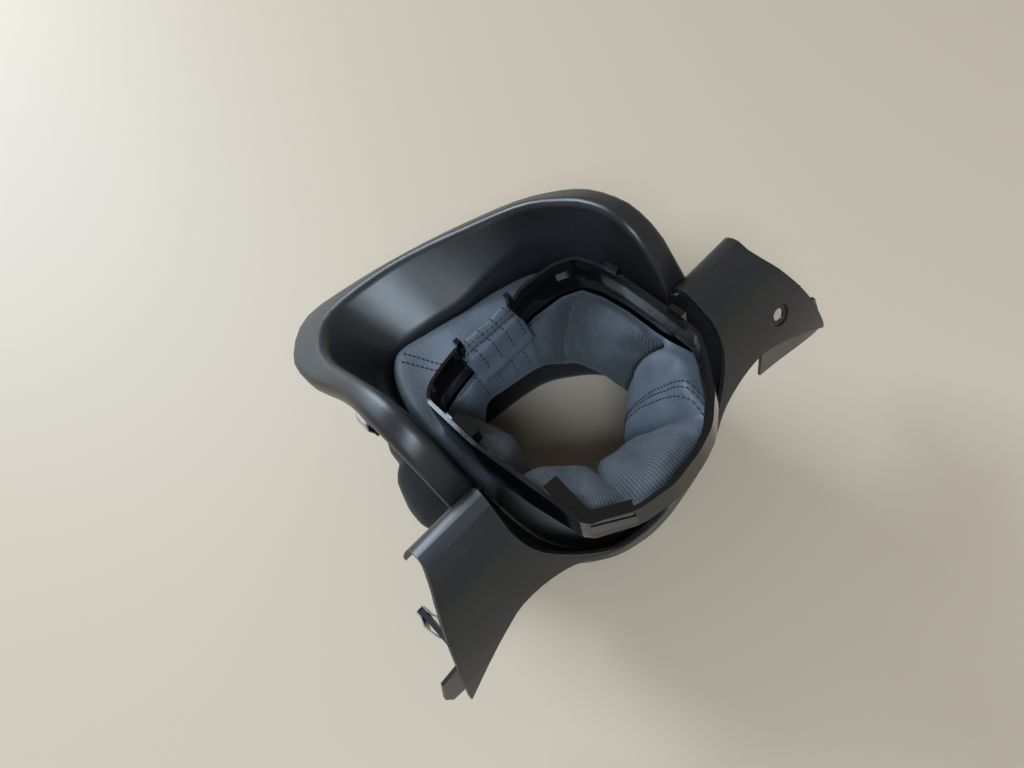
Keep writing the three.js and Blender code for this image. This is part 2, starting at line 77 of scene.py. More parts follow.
# Shader maths: one wire per socket, with the usual operators
class Wire:
    def __init__(self, tree, socket=None):
        self.tree = tree
        self.socket = socket

    def node(self, kind, settings, inputs, output=0):
        made = self.tree.nodes.new(kind)
        for name, value in settings.items():
            setattr(made, name, value)
        for key, value in inputs.items():
            if isinstance(value, Wire):
                self.tree.links.new(value.socket, made.inputs[key])
            else:
                made.inputs[key].default_value = value
        return Wire(self.tree, made.outputs[output])

    def math(self, operation, first, second):
        return self.node("ShaderNodeMath", {"operation": operation}, {0: first, 1: second})

    def __add__(self, other):
        return self.math("ADD", self, other)

    def __radd__(self, other):
        return self.math("ADD", other, self)

    def __sub__(self, other):
        return self.math("SUBTRACT", self, other)

    def __rsub__(self, other):
        return self.math("SUBTRACT", other, self)

    def __mul__(self, other):
        return self.math("MULTIPLY", self, other)

    def __rmul__(self, other):
        return self.math("MULTIPLY", other, self)

    def axis(self, which):
        return self.node("ShaderNodeSeparateXYZ", {}, {0: self}, which)

    def wave(self, turn):
        # swings between 0 and 1
        return self.math("SINE", self * turn, 0.0) * 0.5 + 0.5

    def ramp(self, low, high):
        # 0 below low, 1 above high
        return self.node("ShaderNodeMapRange", {}, {"Value": self, "From Min": low, "From Max": high})

    def cloud(self, scale, detail=2.0, roughness=0.5):
        inputs = {"Vector": self, "Scale": scale, "Detail": detail, "Roughness": roughness}
        return self.node("ShaderNodeTexNoise", {"noise_dimensions": "3D"}, inputs)

    def cells(self, scale, feature="F1"):
        return self.node("ShaderNodeTexVoronoi", {"feature": feature}, {"Vector": self, "Scale": scale})

    def scatter(self, scale, size, patchScale, patch):
        # small dots, gathered in patches
        return self.cells(scale).ramp(*size) * self.cloud(patchScale).ramp(*patch)

    def blend(self, first, second):
        # first where this is 0, second where it is 1
        return self.node("ShaderNodeMix", {"data_type": "RGBA"}, {0: self, 6: first, 7: second}, 2)

    def bump(self, strength, distance):
        inputs = {"Height": self, "Strength": strength, "Distance": distance}
        return self.node("ShaderNodeBump", {}, inputs)


def tone(r, g, b):
    return (r, g, b, 1.0)


def newFinish(name):
    material = bpy.data.materials.new(name)
    material.use_nodes = True
    tree = material.node_tree
    shader = tree.nodes["Principled BSDF"]
    spot = Wire(tree).node("ShaderNodeTexCoord", {}, {}, "Object")
    return material, shader, spot


def feed(shader, values):
    for key, value in values.items():
        if isinstance(value, Wire):
            value.tree.links.new(value.socket, shader.inputs[key])
        else:
            shader.inputs[key].default_value = value


satin = {
    "black": tone(0.012, 0.0125, 0.0135),
    "worn": tone(0.018, 0.019, 0.021),
    "dust": tone(0.16, 0.16, 0.155),
    "roughness": 0.33,
    "shine": 0.6,
    "hazeScale": 22.0,
    "specks": {"scale": 260.0, "size": (0.09, 0.05), "patchScale": 34.0, "patch": (0.52, 0.62)},
    "lint": {"scale": 620.0, "size": (0.10, 0.05), "patchScale": 60.0, "patch": (0.50, 0.62)},
    "grainScale": 1500.0,
    "grainDepth": 0.00012,
}


def satinPlastic():
    material, shader, spot = newFinish("satin_black_plastic")
    haze = spot.cloud(satin["hazeScale"], 3.0).ramp(0.35, 0.75)
    specks = spot.scatter(**satin["specks"])
    lint = spot.scatter(**satin["lint"])
    grain = spot.cloud(satin["grainScale"], 2.0, 0.6)
    plastic = haze.blend(satin["black"], satin["worn"])
    feed(shader, {
        "Base Color": (specks * 0.7 + lint * 0.4).blend(plastic, satin["dust"]),
        "Roughness": haze * 0.07 + specks * 0.25 + satin["roughness"] + grain * 0.05,
        "Normal": grain.bump(0.16, satin["grainDepth"]),
        "Specular IOR Level": satin["shine"],
    })
    return material


gloss = {
    "black": tone(0.003, 0.003, 0.0035),
    "roughness": 0.09,
    "smearScale": 55.0,
    "dust": {"scale": 500.0, "size": (0.08, 0.04), "patchScale": 45.0, "patch": (0.50, 0.60)},
    "waveScale": 160.0,
    "waveDepth": 0.0004,
}


def glossPlastic():
    material, shader, spot = newFinish("gloss_black_plastic")
    smear = spot.cloud(gloss["smearScale"], 4.0).ramp(0.42, 0.8)
    dust = spot.scatter(**gloss["dust"])
    feed(shader, {
        "Base Color": (dust * 0.5).blend(gloss["black"], satin["dust"]),
        "Roughness": smear * 0.10 + dust * 0.3 + gloss["roughness"],
        "Normal": spot.cloud(gloss["waveScale"], 1.0).bump(0.05, gloss["waveDepth"]),
    })
    return material


steel = {
    "bright": tone(0.62, 0.63, 0.65),
    "dull": tone(0.36, 0.36, 0.37),
    "roughness": 0.28,
    "scuffScale": 300.0,
    "scuffDepth": 0.0002,
}


def springSteel():
    material, shader, spot = newFinish("spring_steel")
    scuff = spot.cloud(steel["scuffScale"], 4.0).ramp(0.4, 0.7)
    feed(shader, {
        "Base Color": scuff.blend(steel["bright"], steel["dull"]),
        "Metallic": 1.0,
        "Roughness": scuff * 0.22 + steel["roughness"],
        "Normal": scuff.bump(0.1, steel["scuffDepth"]),
    })
    return material


leather = {
    "skin": tone(0.072, 0.088, 0.114),
    "skinHigh": tone(0.112, 0.134, 0.168),
    "cloth": tone(0.022, 0.026, 0.032),
    "clothHigh": tone(0.125, 0.144, 0.170),
    # near-black: on the outer stretch below, and painted shade round the sleeve's front
    "nearBlackAndShade": tone(0.006, 0.006, 0.006),
    "ribEvery": 1.5,
    "weftRatio": 1.6,
    "slubScale": 420.0,
    "poreScale": 900.0,
    "patchScale": 38.0,
    "reliefDepth": 0.00035,
    "roughness": 0.48,
    "sheen": 0.10,
    "shine": 0.42,
}


# Smooth leather, ribbed cloth and a near-black colour in one material, told apart by the sleeve's own
# marks; round the sleeve's front the near-black is painted shade
def leatherette():
    material, shader, spot = newFinish("leatherette")
    sheet = spot.node("ShaderNodeUVMap", {}, {}, "UV")
    woven = spot.node("ShaderNodeAttribute", {"attribute_name": "woven"}, {}, "Fac")
    nearBlackAndShade = spot.node("ShaderNodeAttribute", {"attribute_name": "nearBlackAndShade"}, {}, "Fac")
    turn = 2 * math.pi / (leather["ribEvery"] * drawing["unit"])
    ribs = sheet.axis(0).wave(turn)
    weft = sheet.axis(1).wave(turn * leather["weftRatio"])
    slub = spot.cloud(leather["slubScale"], 3.0, 0.6)
    weave = ribs * (0.55 + weft * 0.45) * (0.6 + slub * 0.8)
    pores = spot.cells(leather["poreScale"], "SMOOTH_F1")
    patch = spot.cloud(leather["patchScale"], 3.0).ramp(0.35, 0.72)
    skin = patch.blend(leather["skin"], leather["skinHigh"])
    cloth = (weave * 0.6 + slub * 0.2 + patch * 0.2).blend(leather["cloth"], leather["clothHigh"])
    relief = woven * weave * 1.3 + (1.0 - woven) * (pores * 0.8 + slub * 0.35)
    feed(shader, {
        # near-black where marked; round the sleeve's front this is painted shade
        "Base Color": nearBlackAndShade.blend(woven.blend(skin, cloth), leather["nearBlackAndShade"]),
        "Roughness": woven * 0.24 + leather["roughness"] + patch * 0.06 + nearBlackAndShade * 0.45,
        "Normal": relief.bump(0.5, leather["reliefDepth"]),
        "Sheen Weight": leather["sheen"],
        "Sheen Roughness": 0.5,
        "Specular IOR Level": leather["shine"],
    })
    return material


thread = {
    "dark": tone(0.012, 0.013, 0.016),
    "pale": tone(0.035, 0.038, 0.045),
    "roughness": 0.55,
    "twistScale": 2400.0,
    "twistDepth": 0.0001,
}


def threadFinish():
    material, shader, spot = newFinish("sewing_thread")
    twist = spot.cloud(thread["twistScale"], 1.0)
    feed(shader, {
        "Base Color": twist.blend(thread["dark"], thread["pale"]),
        "Roughness": twist * 0.2 + thread["roughness"],
        "Normal": twist.bump(0.3, thread["twistDepth"]),
    })
    return material


floorLook = {"pale": tone(0.65, 0.52, 0.39), "roughness": 0.6, "size": 12.0}


def layFloor():
    half = floorLook["size"] / 2
    mesh = bpy.data.meshes.new("floor")
    corners = [(-half, -half, 0), (half, -half, 0), (half, half, 0), (-half, half, 0)]
    mesh.from_pydata(corners, [], [(0, 1, 2, 3)])
    floor = bpy.data.objects.new("floor", mesh)
    bpy.context.scene.collection.objects.link(floor)
    material, shader, _ = newFinish("pale_floor")
    feed(shader, {"Base Color": floorLook["pale"], "Roughness": floorLook["roughness"]})
    mesh.materials.append(material)


layFloor()

lamps = {
    "ceiling": {
        "at": (-0.86, -1.15, 1.85),
        "size": (0.75, 0.65),
        "power": 35.0,
        "tint": (0.70, 0.86, 1.0),
    },
    "window": {
        "at": (-0.36, 2.20, 1.42),
        "size": (1.3, 1.2),
        "power": 58.0,
        "tint": (0.69, 0.85, 1.0),
    },
}
roomLight = {"tint": tone(1.0, 0.98, 0.94), "strength": 0.28, "lampsAimAt": (0.0, 0.0, 0.1)}


def hangLamps():
    for name, lamp in lamps.items():
        data = bpy.data.lights.new(name, "AREA")
        data.shape = "RECTANGLE"
        data.size, data.size_y = lamp["size"]
        data.energy = lamp["power"]
        data.color = lamp["tint"]
        holder = bpy.data.objects.new(name, data)
        holder.location = lamp["at"]
        away = Vector(roomLight["lampsAimAt"]) - Vector(lamp["at"])
        holder.rotation_euler = away.to_track_quat("-Z", "Y").to_euler()
        bpy.context.scene.collection.objects.link(holder)


def lightRoom():
    world = bpy.data.worlds.new("room_light")
    world.use_nodes = True
    background = world.node_tree.nodes["Background"]
    background.inputs["Color"].default_value = roomLight["tint"]
    background.inputs["Strength"].default_value = roomLight["strength"]
    bpy.context.scene.world = world


hangLamps()
lightRoom()

print("stage: mouldings, collar and clips")
satinFinish = satinPlastic()
glossFinish = glossPlastic()
steelFinish = springSteel()
leatherFinish = leatherette()
stitchFinish = threadFinish()

# Widths of the softened edges, in metres; the surround's corners are already round
edges = {"panel": 0.0005, "collar": 0.0003, "clip": 0.0001, "steps": 2, "sharperThan": 38.0}
weldReach = 0.00002


def dress(node, material, edge):
    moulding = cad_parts[node]
    moulding.data.materials.clear()
    moulding.data.materials.append(material)
    moulding.data.polygons.foreach_set("use_smooth", [True] * len(moulding.data.polygons))
    weld = moulding.modifiers.new("weld", "WELD")
    weld.merge_threshold = weldReach
    if edge:
        soften = moulding.modifiers.new("soft_edges", "BEVEL")
        soften.width = edge
        soften.segments = edges["steps"]
        soften.limit_method = "ANGLE"
        soften.angle_limit = math.radians(edges["sharperThan"])
        soften.use_clamp_overlap = True
    moulding.modifiers.new("flats", "WEIGHTED_NORMAL")


dress("upper_surround", satinFinish, 0.0)
dress("lower_panel", satinFinish, edges["panel"])
dress("gaiter_collar", glossFinish, edges["collar"])
for clip in ("surround_left", "surround_right", "wing_left", "wing_right"):
    dress("spring_clip_" + clip, steelFinish, edges["clip"])

print("stage: gaiter")


# A smooth line through points, evenly cut, that passes near corners without overshoot
def smoothLine(points, steps):
    points = [Vector(p) for p in points]
    padded = [2 * points[0] - points[1]] + points + [2 * points[-1] - points[-2]]
    knots = [0.0]
    for a, b in zip(padded, padded[1:]):
        knots.append(knots[-1] + max((b - a).length, 1e-6) ** 0.5)
    line = []
    spans = len(points) - 1
    for i in range(steps + 1):
        where = spans * i / steps
        k = min(int(where), spans - 1)
        p0, p1, p2, p3 = padded[k:k + 4]
        t0, t1, t2, t3 = knots[k:k + 4]
        t = t1 + (where - k) * (t2 - t1)
        a1 = p0.lerp(p1, (t - t0) / (t1 - t0))
        a2 = p1.lerp(p2, (t - t1) / (t2 - t1))
        a3 = p2.lerp(p3, (t - t2) / (t3 - t2))
        b1 = a1.lerp(a2, (t - t0) / (t2 - t0))
        b2 = a2.lerp(a3, (t - t1) / (t3 - t1))
        line.append(b1.lerp(b2, (t - t1) / (t2 - t1)))
    return line


def smoothSection(section, steps):
    # the same for a flat section of (across, height) points
    return smoothLine([(across, height, 0.0) for across, height in section], steps)


def clamp(value, low=0.0, high=1.0):
    return max(low, min(high, value))


def ease(value, low, high):
    share = clamp((value - low) / (high - low))
    return share * share * (3 - 2 * share)


def lerp(a, b, share):
    return a + (b - a) * share


def bell(offset, width):
    return math.exp(-(offset / width) ** 2)


def angleGap(a, b):
    return (a - b + 180.0) % 360.0 - 180.0


collar = {
    "corners": [
        (-59, 62), (-60, 22), (-57, -18), (-54, -53), (-34, -66), (-15, -70), (4, -68), (17, -64),
        (32, -53), (46, -37), (54, -26), (58, 3), (61, 30), (61, 50), (58, 66), (46, 74), (26, 77),
        (0, 75.5), (-24, 77), (-40, 74), (-52, 70)],
    "wall": 2.2,
    "flare": 1.5,
    "backY": 64.0,
    "backZ": 145.0,
    "pitch": 0.144,
    "depthFront": 14.0,
    "depthBack": 34.0,
    "deepensFrom": -64.0,
    "deepensTo": 10.0,
}


def collarTop(y):
    return collar["backZ"] + collar["pitch"] * (collar["backY"] - y)


def collarDepth(y):
    share = ease(y, collar["deepensFrom"], collar["deepensTo"])
    return lerp(collar["depthFront"], collar["depthBack"], share)


def collarRing(inset):
    ring = []
    corners = [Vector(p) for p in collar["corners"]]
    count = len(corners)
    for i, here in enumerate(corners):
        along = (corners[(i + 1) % count] - corners[i - 1]).normalized()
        ring.append((here.x - along.y * inset, here.y + along.x * inset, 0.0))
    return ring


# The foot of the walls that the sleeve's hem lies under: the surround's, then the panel's
surroundFoot = [
    (-68.5, 12, 95), (-68.5, 34, 93), (-68, 55, 91), (-67, 80, 90), (-64, 104, 89), (-56, 125, 88),
    (-44, 137, 88), (-20, 133, 88), (4, 126, 88), (32, 119, 89), (57, 106, 90), (65, 79, 91),
    (68, 55, 92), (68.5, 34, 93), (68.5, 12, 95)]
panelFootRight = [(67, 3, 84), (63, -7, 68), (54, -17, 52), (42, -24, 40), (24, -28, 31)]
panelFoot = panelFootRight + [(0, -29, 28)] + [(-x, y, z) for x, y, z in reversed(panelFootRight)]

sleeve = {
    "centre": (-5.0, 18.0),
    "around": 264,
    "down": 86,
    "profileSteps": 140,
    "thickness": 1.1,
    "flatWidth": 0.47,
    "flatHeight": 0.30,
    "hole": [
        (33, 22), (28, 48), (14, 63), (-28, 72), (-40, 58), (-38, 43), (-36, 30), (-37, 18), (-38, 6),
        (-27, 0), (-13, -5), (-4, -11), (9, -7), (30, 9), (38, 12)],
    "holeSoftness": 6,
    "seatGap": 0.5,
    "hemGap": 0.8,
    "floorGap": 0.7,
    "neck": {"front": 62.0, "rear": 88.0},
    "bulge": {"front": -5.0, "rear": 22.0},
    "bottom": {"front": 3.6, "rear": 0.8},
    "roundness": (8.0, 15.0),
    "widestFlare": 40.0,
    # the soft bulge that hangs out on the left, and the raised roll at the front left
    "sag": {"at": 147.0, "wide": 27.0, "out": 21.0},
    "puff": {"at": -160.0, "wide": 42.0, "rise": 22.0, "out": 6.0, "round": 12.0},
}


def frontToRear(key, rear):
    return lerp(sleeve[key]["front"], sleeve[key]["rear"], rear)


def meet(outline, angle):
    # how far out a ray from the middle crosses a closed outline, and how high
    cx, cy = sleeve["centre"]
    dx, dy = math.cos(angle), math.sin(angle)
    for i, a in enumerate(outline):
        b = outline[(i + 1) % len(outline)]
        ax, ay = a[0] - cx, a[1] - cy
        rx, ry = b[0] - a[0], b[1] - a[1]
        cross = dx * ry - dy * rx
        if abs(cross) < 1e-9:
            continue
        distance = (ax * ry - ay * rx) / cross
        share = (ax * dy - ay * dx) / cross
        if distance > 0 and -1e-9 <= share <= 1 + 1e-9:
            return distance, lerp(a[2], b[2], share)
    return 0.0, 0.0


def softened(values, width):
    # a running average round the ring
    count = len(values)
    spread = range(-width, width + 1)
    weight = [1 - abs(k) / (width + 1) for k in spread]
    return [sum(w * values[(i + k) % count] for k, w in zip(spread, weight)) / sum(weight)
            for i in range(count)]


def sleeveProfile(angle, hole, seat, top, edge):
    # distance from the middle and height, down the outside, under, and up the inside
    sag, puff = sleeve["sag"], sleeve["puff"]
    sagShare = bell(angleGap(math.degrees(angle), sag["at"]), sag["wide"])
    puffShare = bell(angleGap(math.degrees(angle), puff["at"]), puff["wide"])
    rear = ease(math.sin(angle), -0.5, 0.3)
    edgeOut, edgeZ = edge
    hem = edgeOut - sleeve["hemGap"]
    seatY = sleeve["centre"][1] + math.sin(angle) * seat
    low = collarTop(seatY) - collarDepth(seatY)
    bulge = hem + frontToRear("bulge", rear)
    bulge += sag["out"] * sagShare
    neck = frontToRear("neck", rear) + puff["rise"] * puffShare
    bottom = frontToRear("bottom", rear)
    inner = hole + puff["out"] * puffShare
    roll = clamp((low - neck) * 0.5, *sleeve["roundness"]) + puff["round"] * puffShare
    flare = min(sleeve["widestFlare"], (bulge - inner) * 0.6)
    return [
        (top, low - 1.4),  # under the collar's outside
        (top * 0.6 + (hem - 3) * 0.4, low * 0.6 + (edgeZ + 18) * 0.4 - 3),
        (hem - 3.2, edgeZ + 14),  # beside the walls' foot
        (hem - 0.6, edgeZ + 1),
        (hem - 0.6, edgeZ - 7),
        (bulge - 1, edgeZ * 0.60),  # widest
        (bulge - 3, edgeZ * 0.3),
        (bulge * 0.65 + inner * 0.35, bottom),  # underneath
        (lerp(bulge * 0.3 + inner * 0.7, inner + flare + 2, rear), bottom),
        (inner + lerp(5, flare, rear), neck * 0.45),
        (inner + lerp(2, flare * 0.34, rear), neck - 13),
        (inner + 0.5, neck - 1),  # the neck round the hole
        (seat * 0.16 + inner * 0.84, lerp(neck, low, 0.30) + roll * 0.35),
        (seat * 0.50 + inner * 0.50, lerp(neck, low, 0.66) + roll * 0.42),
        (seat * 0.86 + inner * 0.14, low + 1.5),
        (seat, low + 4.5),  # inside the collar
    ]


def sleeveProfiles(angles):
    rimInset = collar["wall"] - collar["flare"]
    hole = [(x, y, 0.0) for x, y in sleeve["hole"]]
    seatRing = collarRing(rimInset + sleeve["thickness"] + sleeve["seatGap"])
    topRing = collarRing(rimInset)
    foot = [tuple(p) for p in smoothLine(surroundFoot, 60)] + [tuple(p) for p in smoothLine(panelFoot, 40)]
    holeOut = softened([meet(hole, a)[0] for a in angles], sleeve["holeSoftness"])
    return [sleeveProfile(a, out, meet(seatRing, a)[0], meet(topRing, a)[0], meet(foot, a))
            for a, out in zip(angles, holeOut)]


# Creases part the inner sleeve into rolls: where round the ring, how it leans, its width and depth
creases = [
    {"at": 52.0, "lean": -0.35, "wide": 4.2, "deep": 24.0},
    {"at": -7.0, "lean": -0.55, "wide": 3.8, "deep": 11.0},
    {"at": -70.0, "lean": 0.0, "wide": 5.0, "deep": 4.0},
    {"at": -112.0, "lean": 0.1, "wide": 6.0, "deep": 4.5},
    {"at": -165.0, "lean": 0.0, "wide": 6.0, "deep": 4.0},
    {"at": 128.0, "lean": 0.15, "wide": 3.6, "deep": 6.0},
]
# A fold leans about the distance at which its place is given
rolls = {
    "swell": 8.5,
    "fullness": 4.0,
    "leanAbout": 45.0,
    "rise": 0.72,
    "out": 0.42,
    "creaseEdge": 1.3,
    "wrinkleEnds": 0.7,
}
# Smaller wrinkles over the rolls, each with the stretch of the sleeve it runs through
wrinkles = [
    {"at": 8.0, "lean": -1.9, "wide": 4.6, "deep": 6.0, "from": 0.84, "to": 0.97},
    {"at": -18.0, "lean": 0.9, "wide": 4.0, "deep": -4.5, "from": 0.84, "to": 0.96},
    {"at": 33.0, "lean": 0.8, "wide": 5.0, "deep": 3.5, "from": 0.78, "to": 0.93},
    {"at": 66.0, "lean": 0.1, "wide": 3.2, "deep": 4.0, "from": 0.78, "to": 0.97},
    {"at": -86.0, "lean": -0.4, "wide": 4.0, "deep": 2.6, "from": 0.80, "to": 0.97},
    {"at": -132.0, "lean": 0.3, "wide": 5.0, "deep": 2.2, "from": 0.80, "to": 0.97},
    {"at": 152.0, "lean": -0.3, "wide": 4.0, "deep": 2.6, "from": 0.80, "to": 0.97},
]
# Random unevenness: how fine it is, where in the noise it is read, and how deep it goes
rumples = {
    "size": 34.0,
    "sideways": 0.4,
    "soft": {"finer": 1.0, "shift": (0.0, 0.0, 0.0), "octaves": 3, "deep": 2.4},
    "fine": {"finer": 3.1, "shift": (7.0, 3.0, 1.0), "octaves": 2, "deep": 0.9},
    "drape": {"finer": 0.8, "shift": (2.0, 9.0, 4.0), "octaves": 2, "deep": 3.6},
    "slack": {"finer": 1.3, "shift": (4.0, 4.0, 8.0), "octaves": 3, "deep": 3.2},
}
# Upright folds in the hanging cloth outside, and the gather under the collar
hanging = {
    "folds": 9,
    "first": 8.0,
    "every": 21.0,
    "stray": 5.0,
    "lean": 26.0,
    "leanAbout": 0.35,
    "wide": 2.6,
    "deep": 2.6,
    "deepStray": 1.2,
    "tuck": 0.6,
    "turns": {"stray": 2.1, "lean": 1.7, "deep": 3.3},  # keep neighbouring folds unlike each other
}
gather = {"drop": 1.6, "drape": 0.5, "ripple": 2.6, "rippleShare": 0.35, "folds": 9.0, "twist": 0.09}
# Stretches down the sleeve: where each begins, is full, begins to end, and ends
stretches = {
    "skirt": (0.0, 0.05, 0.11, 0.16),
    "hanging": (0.18, 0.26, 0.44, 0.50),
    # where the sleeve is near-black; its end also ends the painted shade round the front
    "nearBlackAndShade": (0.16, 0.20, 0.60, 0.66),
    "inside": (0.68, 0.80, 0.93, 0.995),
}
clothStarts = (0.52, 0.60)


def within(stretch, t):
    begins, full, endsFrom, ends = stretches[stretch]
    return ease(t, begins, full) * (1 - ease(t, endsFrom, ends))


def offFold(fold, degrees, distance):
    return angleGap(degrees, fold["at"] + fold["lean"] * (distance - rolls["leanAbout"]))


def rumple(kind, spot):
    way = rumples[kind]
    return noise.fractal(spot * way["finer"] + Vector(way["shift"]), 1.0, 2.0, way["octaves"]) * way["deep"]


def rollSwell(degrees, distance):
    # 0 in a crease, 1 along the crown of a roll
    gaps = [offFold(crease, degrees, distance) for crease in creases]
    ahead = min((g for g in gaps if g >= 0), default=180.0)
    behind = -max((g for g in gaps if g < 0), default=-180.0)
    across = ahead / max(ahead + behind, 1e-6) * 2 - 1
    return 1 - abs(across) ** rolls["fullness"]


def foldDepth(degrees, distance, t, inner):
    dent = 0.0
    for crease in creases:
        off = offFold(crease, degrees, distance)
        dent += crease["deep"] * math.exp(-abs(off / crease["wide"]) ** rolls["creaseEdge"]) * inner
    for wrinkle in wrinkles:
        off = offFold(wrinkle, degrees, distance)
        share = (t - wrinkle["from"]) / (wrinkle["to"] - wrinkle["from"])
        if 0 < share < 1:
            run = math.sin(math.pi * share) ** rolls["wrinkleEnds"]
            dent += wrinkle["deep"] * bell(off, wrinkle["wide"]) * run
    return dent


def hangingSlack(degrees, t, spot, under):
    slack = rumple("slack", spot) * under
    turns = hanging["turns"]
    for n in range(hanging["folds"]):
        at = hanging["first"] + n * hanging["every"] + hanging["stray"] * math.sin(n * turns["stray"])
        lean = hanging["lean"] * (t - hanging["leanAbout"]) * math.sin(n * turns["lean"])
        deep = hanging["deep"] + hanging["deepStray"] * math.sin(n * turns["deep"])
        slack += deep * bell(angleGap(degrees, at) + lean, hanging["wide"]) * under
    return max(0.0, slack)


def sleevePoint(angle, profile, t):
    # t runs 0 to 1 down the outside, under, and up the inside
    where = t * (len(profile) - 1)
    k = min(int(where), len(profile) - 2)
    here = profile[k].lerp(profile[k + 1], where - k)
    distance, z = here.x, here.y
    degrees = math.degrees(angle)
    inner = within("inside", t)
    crown = rollSwell(degrees, distance) * rolls["swell"] * inner
    dent = foldDepth(degrees, distance, t, inner)
    z += (crown - dent) * rolls["rise"]
    distance += (dent - crown) * rolls["out"]
    spot = Vector((math.cos(angle) * distance, math.sin(angle) * distance, z)) / rumples["size"]
    soft = rumple("soft", spot) * inner
    fine = rumple("fine", spot) * inner
    skirt = within("skirt", t) * ease(math.sin(angle), -0.1, 0.3)
    ripple = gather["ripple"] * math.sin(angle * gather["folds"] + distance * gather["twist"])
    under = within("hanging", t) * ease(math.sin(angle), -0.2, 0.2)
    drape = rumple("drape", spot) * gather["drape"] + ripple * gather["rippleShare"]
    z += (soft + fine) - skirt * (gather["drop"] + drape)
    slack = hangingSlack(degrees, t, spot, under) + hanging["tuck"] * under
    distance += (soft - fine) * rumples["sideways"] - slack
    cx, cy = sleeve["centre"]
    z = max(z, sleeve["floorGap"])
    return Vector((cx + math.cos(angle) * distance, cy + math.sin(angle) * distance, z))


angles = [2 * math.pi * i / sleeve["around"] for i in range(sleeve["around"])]
profiles = [smoothSection(profile, sleeve["profileSteps"]) for profile in sleeveProfiles(angles)]


def onSleeve(degrees, t):
    # a point of the finished sleeve at any angle
    share = (degrees % 360.0) / 360.0 * len(angles)
    i = int(share) % len(angles)
    j = (i + 1) % len(angles)
    a = sleevePoint(angles[i], profiles[i], t)
    b = sleevePoint(angles[j], profiles[j], t)
    return a.lerp(b, share - int(share))


def coverGrid(mesh, uvLayer, grid, onSheet, closed=False):
    # four-sided faces between the rows of a grid, each corner with its place on the flat sheet
    rows = len(grid) if closed else len(grid) - 1
    for i in range(rows):
        j = (i + 1) % len(grid)
        for k in range(len(grid[0]) - 1):
            face = mesh.faces.new((grid[i][k], grid[i][k + 1], grid[j][k + 1], grid[j][k]))
            face.smooth = True
            corners = ((i, k), (i, k + 1), (i + 1, k + 1), (i + 1, k))
            for loop, corner in zip(face.loops, corners):
                loop[uvLayer].uv = onSheet(*corner)
    return sum(face.calc_area() for face in mesh.faces)


def addPiece(name, mesh, material, thickness=0.0):
    # a mesh becomes a piece of the scene, thickened half to each side where it is a sheet
    data = bpy.data.meshes.new(name)
    mesh.to_mesh(data)
    mesh.free()
    piece = bpy.data.objects.new(name, data)
    bpy.context.scene.collection.objects.link(piece)
    data.materials.append(material)
    if thickness:
        body = piece.modifiers.new("thickness", "SOLIDIFY")
        body.thickness = thickness * drawing["unit"]
        body.offset = 0.0
    return piece


# The panels of the inner sleeve that are smooth leather; the rest is woven
smoothPanels = [{"at": 99.0, "half": 29.0}, {"at": -48.0, "half": 31.0}]
# how softly the painted shade round the sleeve's front fades at its sides
paintedShadeEdge = 0.12


def markSurface(vertex, wovenLayer, nearBlackAndShadeLayer, angle, t):
    # which finish shows here: cloth inside, near-black on the outer stretch below, and painted shade in
    # near-black round the front
    smooth = 0.0
    for panel in smoothPanels:
        off = abs(angleGap(math.degrees(angle), panel["at"]))
        smooth = max(smooth, 1 - ease(off, panel["half"] - 1, panel["half"] + 1))
    vertex[wovenLayer] = ease(t, *clothStarts) * (1 - smooth)
    # painted shade: the outside turns near-black round the front, where it lies in shade
    paintedShadeFront = ease(-math.sin(angle), -paintedShadeEdge, paintedShadeEdge) * (1 - ease(t, *stretches["nearBlackAndShade"][2:]))
    vertex[nearBlackAndShadeLayer] = max(paintedShadeFront, within("nearBlackAndShade", t))


def buildSleeve():
    down = sleeve["down"]
    mesh = bmesh.new()
    uvLayer = mesh.loops.layers.uv.new("UVMap")
    wovenLayer = mesh.verts.layers.float.new("woven")
    # marks the near-black, which round the front is painted shade
    nearBlackAndShadeLayer = mesh.verts.layers.float.new("nearBlackAndShade")
    grid = []
    for i, angle in enumerate(angles):
        line = []
        for k in range(down + 1):
            vertex = mesh.verts.new(place(*sleevePoint(angle, profiles[i], k / down)))
            markSurface(vertex, wovenLayer, nearBlackAndShadeLayer, angle, k / down)
            line.append(vertex)
        grid.append(line)

    def onSheet(u, v):
        return (u / len(angles) * sleeve["flatWidth"], v / down * sleeve["flatHeight"])

    area = coverGrid(mesh, uvLayer, grid, onSheet, closed=True)
    return addPiece("gaiter_sleeve", mesh, leatherFinish, sleeve["thickness"]), area


sleevePiece, sleeveArea = buildSleeve()
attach(sleevePiece, "root")
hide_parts("gaiter")

print("stage: stitching")
stitch = {
    "every": 3.4,
    "length": 2.5,
    "thick": 0.42,
    "first": 0.15,
    "sides": 6,
    "sink": 0.15,
    "arch": 0.45,
    "profile": [(0.0, 0.35), (0.2, 0.9), (0.5, 1.0), (0.8, 0.9), (1.0, 0.35)],
    "sight": 0.4,
}


class Path:
    # a line of points that can be asked for the place at any length along it
    def __init__(self, points):
        self.points = points
        self.lengths = [0.0]
        for a, b in zip(points, points[1:]):
            self.lengths.append(self.lengths[-1] + (b - a).length)

    def at(self, distance):
        lengths = self.lengths
        distance = clamp(distance, 0.0, lengths[-1] - 1e-6)
        k = max(i for i in range(len(lengths) - 1) if lengths[i] <= distance)
        share = (distance - lengths[k]) / (lengths[k + 1] - lengths[k])
        return self.points[k].lerp(self.points[k + 1], share)


